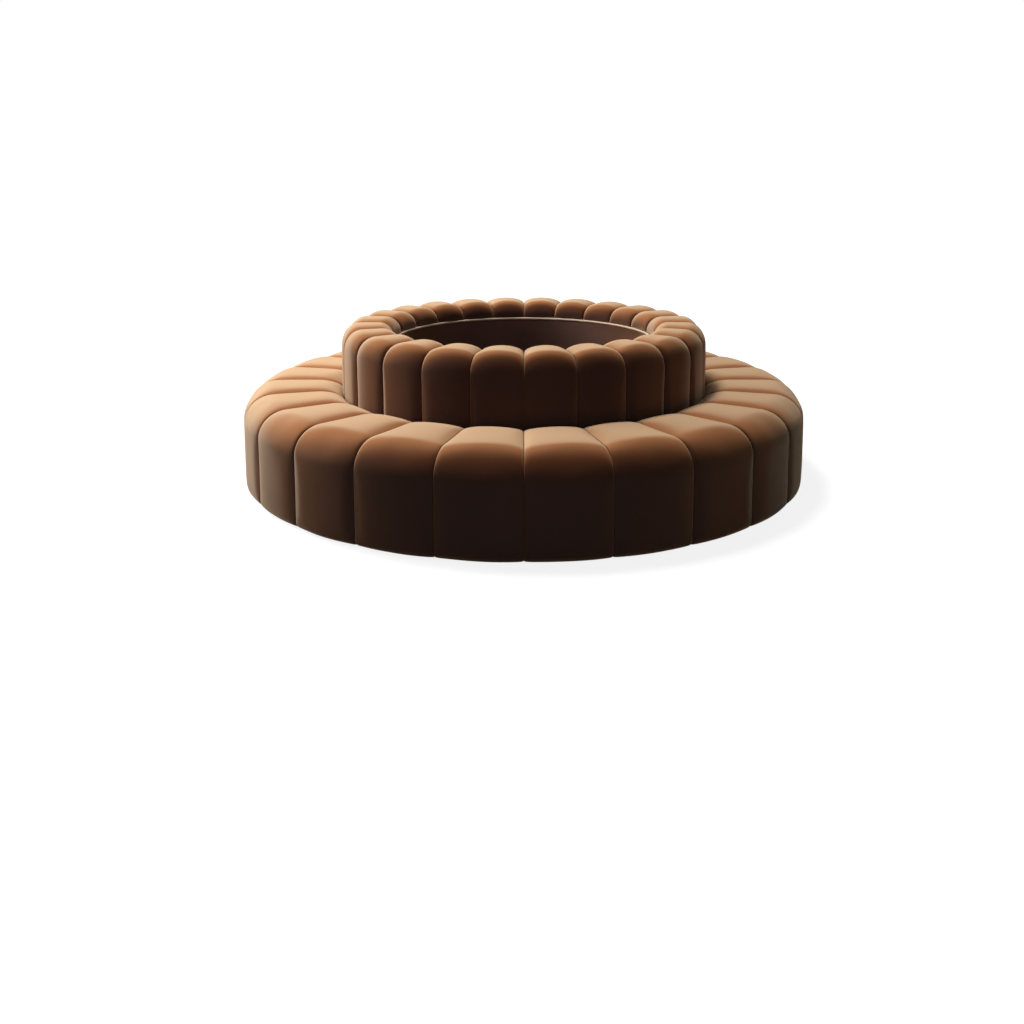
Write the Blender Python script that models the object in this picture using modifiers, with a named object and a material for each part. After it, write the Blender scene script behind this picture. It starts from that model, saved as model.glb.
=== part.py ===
"""Round sofa with a channel-tufted seat ring and back ring round an open well.

The ring comes apart into four quarter modules. Each is a plywood carcass under
foam and velvet, and through bolts join the carcasses at the module ends.
"""

import math

import bmesh
import bpy
from mathutils import Matrix, Vector

# Overall sizes, in metres
SOFA_DIAMETER = 2.500           # over the crowns of the seat channels
SEAT_DEPTH = 0.430              # crowns of the back to the crowns of the seat's front
BACK_DEPTH = 0.227              # face of the well's lining to the crowns of the back
SEAT_HEIGHT = 0.400             # floor to the crown of the seat
BACK_HEIGHT = 0.650             # floor to the crown of the back
WELT_DROP = 0.078               # crown of the back down to the top of the welt round the well

# Counts
MODULES = 4
CHANNELS_PER_MODULE = 6
RIBS_PER_MODULE = 4

# Boards and cloth
BASE_THICKNESS = 0.018
RIB_THICKNESS = 0.018
DECK_THICKNESS = 0.015
RAIL_THICKNESS = 0.018
BENT_PLY_THICKNESS = 0.008
DUST_COVER_THICKNESS = 0.001
RIB_DADO = 0.006                # depth of the ribs in the base board

# Padding outside the boards, measured to the crown of a channel
SEAT_PADDING = 0.115
SEAT_FACE_PADDING = 0.042
BACK_TOP_PADDING = 0.050
BACK_FACE_PADDING = 0.040
LINING_THICKNESS = 0.013
WELT_RADIUS = 0.004
WELL_CROWN_OVERHANG = 0.007     # how far the back's crowns stand into the well

# Seams between the channels, measured below the crowns beside them
SEAT_SEAM_DEPTH = 0.020
SEAT_FACE_SEAM_DEPTH = 0.006
SKIRT_SEAM_LIFT = 0.006
BACK_SEAM_DEPTH = 0.013
BACK_FACE_SEAM_DEPTH = 0.007
WELL_SEAM_DEPTH = 0.011

# Rounded edges of the cushions, width along the radius and height
SKIRT_ROUNDING = 0.022
SEAT_NOSE_WIDTH = 0.118
SEAT_HEEL_WIDTH = 0.110
SEAT_HEEL_HEIGHT = 0.045
BACK_NOSE_WIDTH = 0.082
BACK_NOSE_HEIGHT = 0.095
BACK_LIP_WIDTH = 0.105
BACK_HEM_ROUNDING = 0.010
BACK_HEM_FLAT = 0.005           # upright stretch between the lip and the hem

# Cut-outs that lighten the ribs
SEAT_CUTOUT_RADIUS = 0.055
SEAT_CUTOUT_LENGTH = 0.390
BACK_CUTOUT_RADIUS = 0.032
BACK_CUTOUT_HEIGHT = 0.190
RIB_CORNER_RADIUS = 0.012

# Glides under the base boards
GLIDE_HEIGHT = 0.006
GLIDE_RADIUS = 0.024
GLIDE_CHAMFER = 0.002
GLIDE_EDGE_DISTANCE = 0.055     # from the glide's axis to the edge of the base board

# Through bolts between two modules
BOLT_RADIUS = 0.004
BOLT_HEAD_RADIUS = 0.011
BOLT_HEAD_THICKNESS = 0.003
BOLT_SOCKET_RADIUS = 0.003
BOLT_SOCKET_DEPTH = 0.0015
BOLT_EDGE_DISTANCE = 0.036      # from the bolt's axis to the upright edge of the rib
BOLT_HEIGHT_OVER_BASE = 0.130

# Fits
CLEARANCE = 0.0003              # between neighbouring pieces
RIB_SETBACK = 0.002             # from the module's end plane to the end rib

# Facets
BOARD_STEPS_PER_CHANNEL = 3
GLIDE_STEPS = 12
BOLT_STEPS = 8
CORNER_STEPS = 4
SLOT_CORNER_STEPS = 2
PILLOW_POWER = 3.0              # higher is flatter across a channel, with tighter seams
STATION_SHARES = (0.0, 0.12, 0.34, 0.66, 0.88)   # of a channel's width, from its seam

MODULE_NAMES = ("rear_right", "rear_left", "front_left", "front_right")
SEAM_NAMES = ("right", "rear", "left", "front")

# Radii and levels that follow from the sizes above
MODULE_ANGLE = 2 * math.pi / MODULES
CHANNEL_ANGLE = MODULE_ANGLE / CHANNELS_PER_MODULE
BOARD_STEPS = BOARD_STEPS_PER_CHANNEL * CHANNELS_PER_MODULE
HALF_BOARD_STEP = MODULE_ANGLE / BOARD_STEPS / 2
STATION_SPANS = [after - before for before, after in zip(STATION_SHARES, STATION_SHARES[1:] + (1.0,))]
HALF_CUSHION_STEP = max(STATION_SPANS) * CHANNEL_ANGLE / 2

SEAT_RADIUS = SOFA_DIAMETER / 2
BACK_RADIUS = SEAT_RADIUS - SEAT_DEPTH
WELL_RADIUS = BACK_RADIUS - BACK_DEPTH
END_ANGLE = CLEARANCE / WELL_RADIUS

FASCIA_OUTER = SEAT_RADIUS - SEAT_FACE_PADDING
FASCIA_INNER = FASCIA_OUTER - BENT_PLY_THICKNESS
PANEL_OUTER = BACK_RADIUS - BACK_FACE_PADDING
PANEL_INNER = PANEL_OUTER - BENT_PLY_THICKNESS
WALL_INNER = WELL_RADIUS + LINING_THICKNESS
WALL_OUTER = WALL_INNER + BENT_PLY_THICKNESS
WELL_CROWN_RADIUS = WELL_RADIUS - WELL_CROWN_OVERHANG

COVER_BOTTOM = GLIDE_HEIGHT + CLEARANCE
BASE_BOTTOM = COVER_BOTTOM + DUST_COVER_THICKNESS + CLEARANCE
BASE_TOP = BASE_BOTTOM + BASE_THICKNESS
DECK_TOP = SEAT_HEIGHT - SEAT_PADDING
DECK_BOTTOM = DECK_TOP - DECK_THICKNESS
RAIL_TOP = BACK_HEIGHT - BACK_TOP_PADDING
RAIL_BOTTOM = RAIL_TOP - RAIL_THICKNESS
WELT_HEIGHT = BACK_HEIGHT - WELT_DROP


def rib_reach(board_radius):
    """Distance from the sofa's axis at which a rib's square edge meets the board bent round it."""
    far_face = RIB_SETBACK + RIB_THICKNESS
    facet_radius = board_radius * math.cos(HALF_BOARD_STEP) - CLEARANCE
    return math.sqrt(facet_radius ** 2 - far_face ** 2)


RIB_INNER = WALL_OUTER + CLEARANCE
RIB_OUTER = rib_reach(FASCIA_INNER)
RIB_BACK = rib_reach(PANEL_INNER)
RIB_SEAT_TOP = DECK_BOTTOM - CLEARANCE
RIB_BACK_TOP = RAIL_BOTTOM - CLEARANCE
BOLT_LEVEL = BASE_TOP + BOLT_HEIGHT_OVER_BASE
BOLT_DISTANCES = {
    "seat": RIB_OUTER - BOLT_EDGE_DISTANCE,
    "back": RIB_INNER + BOLT_EDGE_DISTANCE,
}


def snug_over(board_radius):
    """Radius for a cushion's facets that just clear the round board inside them."""
    return (board_radius + CLEARANCE) / math.cos(HALF_CUSHION_STEP)


def snug_within(board_radius):
    """Radius for a cushion's facets that just clear the faceted board outside them."""
    return board_radius * math.cos(HALF_BOARD_STEP) - CLEARANCE


def make_material(name, colour, roughness, metallic=0.0, sheen=0.0):
    material = bpy.data.materials.new(name)
    material.use_nodes = True
    shader = material.node_tree.nodes["Principled BSDF"]
    shader.inputs["Base Color"].default_value = (*colour, 1.0)
    shader.inputs["Roughness"].default_value = roughness
    shader.inputs["Metallic"].default_value = metallic
    shader.inputs["Sheen Weight"].default_value = sheen
    material.diffuse_color = (*colour, 1.0)
    return material


def mesh_from_bmesh(name, bm, smooth_angle=math.radians(40)):
    mesh = bpy.data.meshes.new(name)
    bm.to_mesh(mesh)
    bm.free()
    mesh.shade_smooth()
    mesh.set_sharp_from_angle(angle=smooth_angle)
    return mesh


def bake(scene_object):
    """Mesh of an object as its modifiers leave it; the object itself is removed."""
    graph = bpy.context.evaluated_depsgraph_get()
    mesh = bpy.data.meshes.new_from_object(scene_object.evaluated_get(graph))
    bpy.data.objects.remove(scene_object)
    return mesh


def temporary_object(name, data):
    scene_object = bpy.data.objects.new(name, data)
    bpy.context.scene.collection.objects.link(scene_object)
    return scene_object


def swept_sector(name, section):
    """Constant section of (radius, height) points, swept from one module end to the other."""
    bm = bmesh.new()
    start = [bm.verts.new((radius, 0.0, height)) for radius, height in section]
    bm.faces.new(start)
    bmesh.ops.rotate(bm, verts=bm.verts, cent=(0, 0, 0), matrix=Matrix.Rotation(END_ANGLE, 3, "Z"))
    bmesh.ops.spin(bm, geom=bm.verts[:] + bm.edges[:] + bm.faces[:], cent=(0, 0, 0), axis=(0, 0, 1),
                   angle=MODULE_ANGLE - 2 * END_ANGLE, steps=BOARD_STEPS, use_duplicate=False)
    bmesh.ops.recalc_face_normals(bm, faces=bm.faces)
    return mesh_from_bmesh(name, bm)


def rectangle(inner, outer, bottom, top):
    return [(inner, bottom), (outer, bottom), (outer, top), (inner, top)]


def rounded_outline(corners):
    """Outline with level and upright sides whose corners are quarter ellipses.

    A corner is (x, y) where it stays sharp, or (x, y, width, height, steps).
    """
    points = []
    for index, corner in enumerate(corners):
        x, y = corner[:2]
        if len(corner) == 2:
            points.append((x, y))
            continue
        width, height, steps = corner[2:]
        before = corners[index - 1]
        after = corners[(index + 1) % len(corners)]
        upright_first = math.isclose(before[0], x)
        level_end, upright_end = (after, before) if upright_first else (before, after)
        across = math.copysign(width, level_end[0] - x)
        along = math.copysign(height, upright_end[1] - y)
        for step in range(steps + 1):
            turn = math.pi / 2 * step / steps
            if not upright_first:
                turn = math.pi / 2 - turn
            points.append((x + across * (1 - math.cos(turn)), y + along * (1 - math.sin(turn))))
    return points


def circle_outline(x, y, radius, steps):
    turns = [2 * math.pi * step / steps for step in range(steps)]
    return [(x + radius * math.cos(turn), y + radius * math.sin(turn)) for turn in turns]


def slot_outline(x, y, width, height):
    """Slot with round ends, centred on x, y."""
    radius = min(width, height) / 2
    left, right = x - width / 2, x + width / 2
    low, high = y - height / 2, y + height / 2
    corners = [(left, low), (right, low), (right, high), (left, high)]
    outline = rounded_outline([(*corner, radius, radius, SLOT_CORNER_STEPS) for corner in corners])
    return [point for index, point in enumerate(outline) if math.dist(point, outline[index - 1]) > CLEARANCE]


def cut_board(name, outlines, thickness):
    """Flat board in the XY plane: the first outline is its edge, the others are holes in it."""
    curve = bpy.data.curves.new(name, "CURVE")
    curve.dimensions = "2D"
    curve.fill_mode = "BOTH"
    curve.extrude = thickness / 2
    for outline in outlines:
        spline = curve.splines.new("POLY")
        spline.points.add(len(outline) - 1)
        for point, (x, y) in zip(spline.points, outline):
            point.co = (x, y, 0.0, 1.0)
        spline.use_cyclic_u = True
    mesh = bake(temporary_object(name, curve))
    bm = bmesh.new()
    bm.from_mesh(mesh)
    bmesh.ops.remove_doubles(bm, verts=bm.verts, dist=CLEARANCE / 10)
    bmesh.ops.recalc_face_normals(bm, faces=bm.faces)
    bm.to_mesh(mesh)
    bm.free()
    return mesh


def turned(name, profile, steps):
    """Solid of revolution about Z from a profile that runs down its outer side."""
    mesh = bpy.data.meshes.new(name)
    edges = [(index, index + 1) for index in range(len(profile) - 1)]
    mesh.from_pydata([(radius, 0.0, height) for radius, height in profile], edges, [])
    guide = temporary_object(name, mesh)
    screw = guide.modifiers.new("turn", "SCREW")
    screw.steps = steps
    screw.render_steps = steps
    screw.use_merge_vertices = True
    screw.merge_threshold = CLEARANCE / 10
    solid = bake(guide)
    solid.name = name
    solid.shade_smooth()
    solid.set_sharp_from_angle(angle=math.radians(30))
    return solid


def rib_outlines(with_bolt_holes):
    """L-shaped rib with its lightening cut-outs, x from the sofa's axis and y up from the floor."""
    foot = BASE_TOP - RIB_DADO
    corner = (RIB_CORNER_RADIUS, RIB_CORNER_RADIUS, 1)
    edge = rounded_outline([
        (RIB_INNER, foot),
        (RIB_OUTER, foot),
        (RIB_OUTER, RIB_SEAT_TOP, *corner),
        (RIB_BACK, RIB_SEAT_TOP),
        (RIB_BACK, RIB_BACK_TOP, *corner),
        (RIB_INNER, RIB_BACK_TOP, *corner),
    ])
    seat_middle = (RIB_INNER + RIB_OUTER) / 2
    seat_level = (BASE_TOP + RIB_SEAT_TOP) / 2
    back_middle = (RIB_INNER + RIB_BACK) / 2
    back_level = (RIB_SEAT_TOP + RIB_BACK_TOP) / 2
    outlines = [
        edge,
        slot_outline(seat_middle, seat_level, SEAT_CUTOUT_LENGTH, 2 * SEAT_CUTOUT_RADIUS),
        slot_outline(back_middle, back_level, 2 * BACK_CUTOUT_RADIUS, BACK_CUTOUT_HEIGHT),
    ]
    if with_bolt_holes:
        hole_radius = (BOLT_RADIUS + CLEARANCE) / math.cos(math.pi / BOLT_STEPS)
        for distance in BOLT_DISTANCES.values():
            outlines.append(circle_outline(distance, BOLT_LEVEL, hole_radius, BOLT_STEPS))
    return outlines


def carcass_mesh():
    """Base board with its ribs glued into it, as one plywood frame."""
    base_section = rectangle(WALL_OUTER + CLEARANCE, FASCIA_INNER - CLEARANCE, BASE_BOTTOM, BASE_TOP)
    carcass = temporary_object("carcass", swept_sector("carcass", base_section))
    end_rib = cut_board("end_rib", rib_outlines(with_bolt_holes=True), RIB_THICKNESS)
    middle_rib = cut_board("middle_rib", rib_outlines(with_bolt_holes=False), RIB_THICKNESS)
    end_offset = RIB_SETBACK + RIB_THICKNESS / 2
    ribs = []
    for index in range(RIBS_PER_MODULE):
        angle = MODULE_ANGLE * index / (RIBS_PER_MODULE - 1)
        at_start, at_end = index == 0, index == RIBS_PER_MODULE - 1
        rib = temporary_object("rib", end_rib if at_start or at_end else middle_rib)
        offset = end_offset if at_start else -end_offset if at_end else 0.0
        rib.rotation_euler = (math.pi / 2, 0.0, angle)
        rib.location = (-offset * math.sin(angle), offset * math.cos(angle), 0.0)
        union = carcass.modifiers.new("rib", "BOOLEAN")
        union.operation = "UNION"
        union.object = rib
        ribs.append(rib)
    bpy.context.view_layer.update()
    mesh = bake(carcass)
    for rib in ribs:
        bpy.data.objects.remove(rib)
    return mesh


def fullness(share):
    """Height of a channel's pillow across its width, 0 at the seams and 1 at the crown."""
    return math.sqrt(1 - abs(2 * share - 1) ** PILLOW_POWER)


def seat_section(full):
    """Section of the seat cushion: skirt over the front board, nose, top and heel at the back ring."""
    sunk = 1 - full
    outer = SEAT_RADIUS - SEAT_FACE_SEAM_DEPTH * sunk
    top = SEAT_HEIGHT - SEAT_SEAM_DEPTH * sunk
    hem = BASE_BOTTOM + SKIRT_SEAM_LIFT * sunk
    heel = BACK_RADIUS + CLEARANCE
    lining = snug_over(FASCIA_OUTER)
    underside = DECK_TOP + CLEARANCE
    return rounded_outline([
        (outer, hem, SKIRT_ROUNDING, SKIRT_ROUNDING, 2),
        (outer, top, SEAT_NOSE_WIDTH, top - DECK_TOP, CORNER_STEPS + 1),
        (heel, top, SEAT_HEEL_WIDTH, SEAT_HEEL_HEIGHT, CORNER_STEPS),
        (heel, underside),
        (lining, underside),
        (lining, hem),
    ])


def back_section(full):
    """Section of the back cushion: outer face, nose, top, lip and the flap inside the well."""
    sunk = 1 - full
    outer = BACK_RADIUS - BACK_FACE_SEAM_DEPTH * sunk
    top = BACK_HEIGHT - BACK_SEAM_DEPTH * sunk
    inner = WELL_CROWN_RADIUS + WELL_SEAM_DEPTH * sunk
    foot = DECK_TOP + CLEARANCE
    flap_hem = WELT_HEIGHT + CLEARANCE
    lip_height = top - flap_hem - BACK_HEM_ROUNDING - BACK_HEM_FLAT
    flap_back = snug_within(WALL_INNER)
    underside = RAIL_TOP + CLEARANCE
    face_back = snug_over(PANEL_OUTER)
    return rounded_outline([
        (outer, foot),
        (outer, top, BACK_NOSE_WIDTH, BACK_NOSE_HEIGHT, CORNER_STEPS),
        (inner, top, BACK_LIP_WIDTH, lip_height, CORNER_STEPS),
        (inner, flap_hem, BACK_HEM_ROUNDING, BACK_HEM_ROUNDING, 1),
        (flap_back, flap_hem),
        (flap_back, underside),
        (face_back, underside),
        (face_back, foot),
    ])


def channelled_cushion(name, section):
    """Loft from seam to crown to seam, channel after channel, along one module."""
    shares = [channel + share for channel in range(CHANNELS_PER_MODULE) for share in STATION_SHARES]
    shares.append(CHANNELS_PER_MODULE)
    bm = bmesh.new()
    rings = []
    for share in shares:
        angle = END_ANGLE + (MODULE_ANGLE - 2 * END_ANGLE) * share / CHANNELS_PER_MODULE
        outline = section(fullness(share % 1.0))
        ring = [bm.verts.new((radius * math.cos(angle), radius * math.sin(angle), height))
                for radius, height in outline]
        rings.append(ring)
    for ring, following in zip(rings, rings[1:]):
        for index in range(len(ring)):
            bm.faces.new((ring[index - 1], ring[index], following[index], following[index - 1]))
    bm.faces.new(reversed(rings[0]))
    bm.faces.new(rings[-1])
    bmesh.ops.recalc_face_normals(bm, faces=bm.faces)
    return mesh_from_bmesh(name, bm, math.radians(60))


def lining_section():
    """Padded velvet face of the well, with the welt along its top edge."""
    foot = BASE_BOTTOM
    back = WALL_INNER - CLEARANCE
    welt_middle = WELT_HEIGHT - WELT_RADIUS
    bead = []
    for step in range(CORNER_STEPS + 1):
        turn = math.pi * step / CORNER_STEPS
        bead.append((WELL_RADIUS - WELT_RADIUS * math.sin(turn), welt_middle + WELT_RADIUS * math.cos(turn)))
    return [(WELL_RADIUS, foot), (back, foot), (back, WELT_HEIGHT), *bead]


def glide_profile():
    return [
        (0.0, GLIDE_HEIGHT),
        (GLIDE_RADIUS, GLIDE_HEIGHT),
        (GLIDE_RADIUS, GLIDE_CHAMFER),
        (GLIDE_RADIUS - GLIDE_CHAMFER, 0.0),
        (0.0, 0.0),
    ]


def bolt_profile():
    """Joint bolt with a flat cap head at each end, centred on the plane between two modules."""
    grip = RIB_SETBACK + RIB_THICKNESS + CLEARANCE
    face = grip + BOLT_HEAD_THICKNESS
    upper = [
        (0.0, face - BOLT_SOCKET_DEPTH),
        (BOLT_SOCKET_RADIUS, face - BOLT_SOCKET_DEPTH),
        (BOLT_SOCKET_RADIUS, face),
        (BOLT_HEAD_RADIUS, face),
        (BOLT_HEAD_RADIUS, grip),
        (BOLT_RADIUS, grip),
    ]
    return upper + [(radius, -height) for radius, height in reversed(upper)]


def build_meshes():
    """One mesh for each kind of piece that a module repeats, with its material's name."""
    deck = rectangle(PANEL_INNER, FASCIA_INNER - CLEARANCE, DECK_BOTTOM, DECK_TOP)
    fascia = rectangle(FASCIA_INNER, FASCIA_OUTER, BASE_BOTTOM, DECK_TOP)
    panel = rectangle(PANEL_INNER, PANEL_OUTER, DECK_TOP + CLEARANCE, RAIL_TOP)
    wall = rectangle(WALL_INNER, WALL_OUTER, BASE_BOTTOM, RAIL_TOP)
    rail = rectangle(WALL_OUTER + CLEARANCE, PANEL_INNER - CLEARANCE, RAIL_BOTTOM, RAIL_TOP)
    cover = rectangle(WALL_INNER, FASCIA_OUTER, COVER_BOTTOM, COVER_BOTTOM + DUST_COVER_THICKNESS)
    return {
        "frame": (carcass_mesh(), "plywood"),
        "seat_deck": (swept_sector("seat_deck", deck), "plywood"),
        "seat_front_board": (swept_sector("seat_front_board", fascia), "bent_plywood"),
        "back_board": (swept_sector("back_board", panel), "bent_plywood"),
        "well_board": (swept_sector("well_board", wall), "bent_plywood"),
        "top_rail": (swept_sector("top_rail", rail), "plywood"),
        "seat_cushion": (channelled_cushion("seat_cushion", seat_section), "velvet"),
        "back_cushion": (channelled_cushion("back_cushion", back_section), "velvet"),
        "well_lining": (swept_sector("well_lining", lining_section()), "lining_velvet"),
        "dust_cover": (swept_sector("dust_cover", cover), "dust_cloth"),
    }


def glide_places():
    """Two glides under the seat's edge and one under the back, in polar form."""
    outer = FASCIA_INNER - GLIDE_EDGE_DISTANCE
    inner = WALL_OUTER + GLIDE_EDGE_DISTANCE
    return {
        "outer_glide_a": (outer, MODULE_ANGLE / 4),
        "outer_glide_b": (outer, MODULE_ANGLE * 3 / 4),
        "inner_glide": (inner, MODULE_ANGLE / 2),
    }


def main():
    for old in list(bpy.data.objects):
        bpy.data.objects.remove(old)

    sofa = bpy.data.collections.new("round_sofa")
    bpy.context.scene.collection.children.link(sofa)
    materials = {
        "velvet": make_material("velvet", (0.235, 0.105, 0.052), 0.85, sheen=0.6),
        "lining_velvet": make_material("lining_velvet", (0.190, 0.085, 0.042), 0.85, sheen=0.6),
        "plywood": make_material("plywood", (0.560, 0.400, 0.240), 0.65),
        "bent_plywood": make_material("bent_plywood", (0.610, 0.450, 0.280), 0.60),
        "dust_cloth": make_material("dust_cloth", (0.022, 0.021, 0.022), 0.95),
        "glide_plastic": make_material("glide_plastic", (0.030, 0.024, 0.020), 0.45),
        "bolt_steel": make_material("bolt_steel", (0.600, 0.600, 0.620), 0.35, metallic=1.0),
    }

    def place(name, mesh, material, parent):
        piece = bpy.data.objects.new(name, mesh)
        if not mesh.materials:
            mesh.materials.append(materials[material])
        piece.parent = parent
        sofa.objects.link(piece)
        return piece

    meshes = build_meshes()
    glide = turned("glide", glide_profile(), GLIDE_STEPS)
    bolt = turned("joint_bolt", bolt_profile(), BOLT_STEPS)

    for index in range(MODULES):
        module = bpy.data.objects.new(f"{MODULE_NAMES[index]}_module", None)
        module.rotation_euler.z = MODULE_ANGLE * index
        sofa.objects.link(module)
        for piece_name, (mesh, material) in meshes.items():
            place(f"{MODULE_NAMES[index]}_{piece_name}", mesh, material, module)
        for glide_name, (distance, angle) in glide_places().items():
            foot = place(f"{MODULE_NAMES[index]}_{glide_name}", glide, "glide_plastic", module)
            foot.location = Vector((distance * math.cos(angle), distance * math.sin(angle), 0.0))
        for bolt_name, distance in BOLT_DISTANCES.items():
            fastener = place(f"{SEAM_NAMES[index]}_{bolt_name}_bolt", bolt, "bolt_steel", module)
            fastener.location = Vector((distance, 0.0, BOLT_LEVEL))
            fastener.rotation_euler.x = math.pi / 2


main()
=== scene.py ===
import math

import bpy
import numpy as np
from mathutils import Matrix, Vector, noise


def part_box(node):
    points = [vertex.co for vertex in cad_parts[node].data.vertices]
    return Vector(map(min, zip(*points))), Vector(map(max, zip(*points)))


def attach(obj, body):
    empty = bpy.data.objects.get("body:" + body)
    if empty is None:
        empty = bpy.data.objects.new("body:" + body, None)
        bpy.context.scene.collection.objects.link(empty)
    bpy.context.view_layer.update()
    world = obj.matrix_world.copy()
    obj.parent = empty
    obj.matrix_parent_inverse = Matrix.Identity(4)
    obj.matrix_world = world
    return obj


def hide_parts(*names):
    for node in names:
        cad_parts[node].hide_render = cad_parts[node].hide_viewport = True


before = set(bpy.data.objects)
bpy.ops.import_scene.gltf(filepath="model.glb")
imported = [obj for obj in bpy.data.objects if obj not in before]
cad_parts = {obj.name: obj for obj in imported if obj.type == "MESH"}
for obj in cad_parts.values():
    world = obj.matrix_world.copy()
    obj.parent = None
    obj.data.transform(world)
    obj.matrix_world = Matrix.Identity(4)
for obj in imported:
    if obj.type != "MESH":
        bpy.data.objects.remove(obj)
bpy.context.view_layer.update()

# Sizes are in metres. Each quarter is a quarter turn on from the one before it
quarters = ["rear_right", "rear_left", "front_left", "front_right"]
quarterTurn = math.pi / 2
fit = 0.0003             # gap between neighbouring pieces

print("scene: frame loaded, round sofa")


# Small helpers

def deselectAll():
    if bpy.context.object and bpy.context.object.mode != "OBJECT":
        bpy.ops.object.mode_set(mode="OBJECT")
    bpy.ops.object.select_all(action="DESELECT")


def activate(*pieces):
    deselectAll()
    for piece in pieces:
        piece.select_set(True)
    bpy.context.view_layer.objects.active = pieces[0]


def editAll(piece):
    activate(piece)
    bpy.ops.object.mode_set(mode="EDIT")
    bpy.ops.mesh.select_all(action="SELECT")


def subdivide(piece, levels=1):
    activate(piece)
    modifier = piece.modifiers.new("Subdivision", "SUBSURF")
    modifier.levels = modifier.render_levels = levels
    bpy.ops.object.modifier_apply(modifier=modifier.name)


def smooth(piece, degrees):
    activate(piece)
    bpy.ops.object.shade_smooth_by_angle(angle=math.radians(degrees))


def meshPoints(piece):
    points = np.empty(len(piece.data.vertices) * 3)
    piece.data.vertices.foreach_get("co", points)
    return points.reshape(-1, 3)


def movePoints(piece, points):
    piece.data.vertices.foreach_set("co", points.ravel())
    piece.data.update()


def turnedCopy(piece, name, angle):
    copy = piece.copy()
    copy.data = piece.data.copy()
    copy.name = copy.data.name = name
    copy.data.transform(Matrix.Rotation(angle, 4, "Z"))
    bpy.context.scene.collection.objects.link(copy)
    return copy


def joined(pieces, name):
    activate(*pieces)
    if len(pieces) > 1:
        bpy.ops.object.join()
    whole = bpy.context.object
    whole.name = whole.data.name = name
    return whole


def dress(piece, material):
    piece.data.materials.clear()
    piece.data.materials.append(material)
    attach(piece, "root")


# Where things are in the frame

def nodeRadii(node):
    reach = [math.hypot(v.co.x, v.co.y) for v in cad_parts[node].data.vertices]
    return min(reach), max(reach)


def nodeLevels(node):
    low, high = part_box(node)
    return low.z, high.z


frontBoardFace = nodeRadii("rear_right_seat_front_board")[1]
backBoardFace = nodeRadii("rear_right_back_board")[1]
wellBoardFace = nodeRadii("rear_right_well_board")[0]
deckTop = nodeLevels("rear_right_seat_deck")[1]
railTop = nodeLevels("rear_right_top_rail")[1]
hemLevel, seatTop = nodeLevels("rear_right_seat_cushion")
backTop = nodeLevels("rear_right_back_cushion")[1]
liningBead, liningBack = nodeRadii("rear_right_well_lining")
liningFoot, liningTop = nodeLevels("rear_right_well_lining")
weltLift = 0.020         # the full padding of the back draws the welt up by this much
liningTop += weltLift
flapHem = liningTop + fit


# Finishes

def newMaterial(name, colour, roughness, metallic=0.0):
    material = bpy.data.materials.new(name)
    material.use_nodes = True
    shader = material.node_tree.nodes["Principled BSDF"]
    shader.inputs["Base Color"].default_value = (*colour, 1)
    shader.inputs["Roughness"].default_value = roughness
    shader.inputs["Metallic"].default_value = metallic
    return material, material.node_tree, shader


# A socket takes another node's output, a colour or a plain number
def feed(tree, socket, value):
    if isinstance(value, bpy.types.NodeSocket):
        tree.links.new(value, socket)
    else:
        socket.default_value = (*value, 1) if isinstance(value, tuple) else value


def onPiece(tree, stretch=(1, 1, 1)):
    place = tree.nodes.new("ShaderNodeTexCoord")
    mapping = tree.nodes.new("ShaderNodeMapping")
    mapping.inputs["Scale"].default_value = stretch
    tree.links.new(place.outputs["Object"], mapping.inputs["Vector"])
    return mapping.outputs["Vector"]


# 1 where a surface looks up, 0 where it is upright, -1 where it looks down
def upwards(tree):
    place = tree.nodes.new("ShaderNodeTexCoord")
    axes = tree.nodes.new("ShaderNodeSeparateXYZ")
    tree.links.new(place.outputs["Normal"], axes.inputs["Vector"])
    return axes.outputs["Z"]


def grain(tree, vector, scale, detail=2.0, roughness=0.5):
    texture = tree.nodes.new("ShaderNodeTexNoise")
    texture.inputs["Scale"].default_value = scale
    texture.inputs["Detail"].default_value = detail
    texture.inputs["Roughness"].default_value = roughness
    tree.links.new(vector, texture.inputs["Vector"])
    return texture.outputs["Fac"]


def ranged(tree, value, start, end, low=0.0, high=1.0, kind="LINEAR"):
    node = tree.nodes.new("ShaderNodeMapRange")
    node.interpolation_type = kind
    for name, number in (("From Min", start), ("From Max", end), ("To Min", low), ("To Max", high)):
        node.inputs[name].default_value = number
    tree.links.new(value, node.inputs["Value"])
    return node.outputs["Result"]


def calc(tree, operation, *values):
    node = tree.nodes.new("ShaderNodeMath")
    node.operation = operation
    for socket, value in zip(node.inputs, values):
        feed(tree, socket, value)
    return node.outputs["Value"]


def mixed(tree, share, first, second):
    node = tree.nodes.new("ShaderNodeMix")
    node.data_type = "RGBA"
    for name, value in (("Factor", share), ("A", first), ("B", second)):
        feed(tree, node.inputs[name], value)
    return node.outputs["Result"]


def raised(tree, shader, height, distance, strength=0.6):
    bump = tree.nodes.new("ShaderNodeBump")
    bump.inputs["Distance"].default_value = distance
    bump.inputs["Strength"].default_value = strength
    tree.links.new(height, bump.inputs["Height"])
    tree.links.new(bump.outputs["Normal"], shader.inputs["Normal"])


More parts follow.
